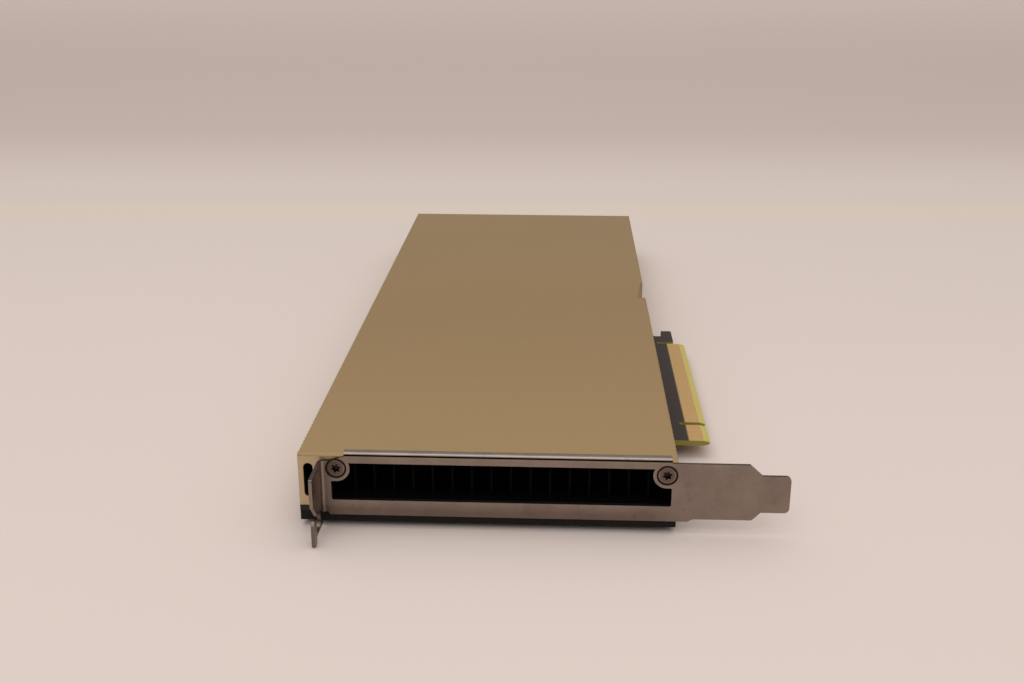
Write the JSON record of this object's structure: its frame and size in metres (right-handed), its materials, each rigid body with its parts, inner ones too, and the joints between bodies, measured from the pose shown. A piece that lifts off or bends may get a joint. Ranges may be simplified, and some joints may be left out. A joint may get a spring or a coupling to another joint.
{
  "type": "passive accelerator card",
  "caption": "Single-slot, full-height accelerator card for servers, cooled by the chassis air that passes through its bracket window and fins.",
  "frame": {"origin": "bottom centre of the whole card's box, level with the lowest point of the bracket's screw tab", "axes": "+X across the card towards its edge connector and the bracket's tongue, +Y along the card away from the bracket, +Z from the backplate to the cover"},
  "size_m": [0.1258, 0.279, 0.0214],
  "materials": {
    "bracket_steel": "satin nickel over sheet steel",
    "screw_steel": "dull nickel",
    "gold_cover": "satin gold anodised",
    "black_polymer": "matte",
    "board_mask": "black solder mask",
    "contact_gold": "gold plated",
    "black_plate": "black satin",
    "black_screw": "black oxide",
    "copper": "bare copper",
    "fin_metal": "plain",
    "substrate": "solder mask",
    "silicon": "polished",
    "thermal_paste": "paste",
    "nickel": "satin nickel",
    "chip_epoxy": "moulded",
    "thermal_pad": "soft pad",
    "ferrite": "pressed powder",
    "capacitor_epoxy": "moulded",
    "socket_nylon": "moulded nylon",
    "pin_tin": "tin plated",
    "spring_steel": "rolled",
    "film_black": "polyester film"
  },
  "bodies": {
    "root": {"io_bracket": "bracket_steel", "bracket_screws": "screw_steel", "top_cover": "gold_cover", "inlet_vanes": "black_polymer", "circuit_board": "board_mask", "edge_contacts": "contact_gold", "backplate": "black_plate", "backplate_screws": "black_screw", "cold_plate": "copper", "fin_stack": "fin_metal", "processor_package": "substrate", "processor_die": "silicon", "die_interface": "thermal_paste", "package_stiffener": "nickel", "memory_chips": "chip_epoxy", "memory_pads": "thermal_pad", "power_stages": "chip_epoxy", "power_stage_pads": "thermal_pad", "inductors": "ferrite", "inductor_pads": "thermal_pad", "bulk_capacitors": "capacitor_epoxy", "board_controller": "chip_epoxy", "power_socket": "socket_nylon", "power_contacts": "pin_tin", "spring_plate": "spring_steel", "spring_plate_screws": "spring_steel", "insulator_film": "film_black"}
  },
  "joints": []
}
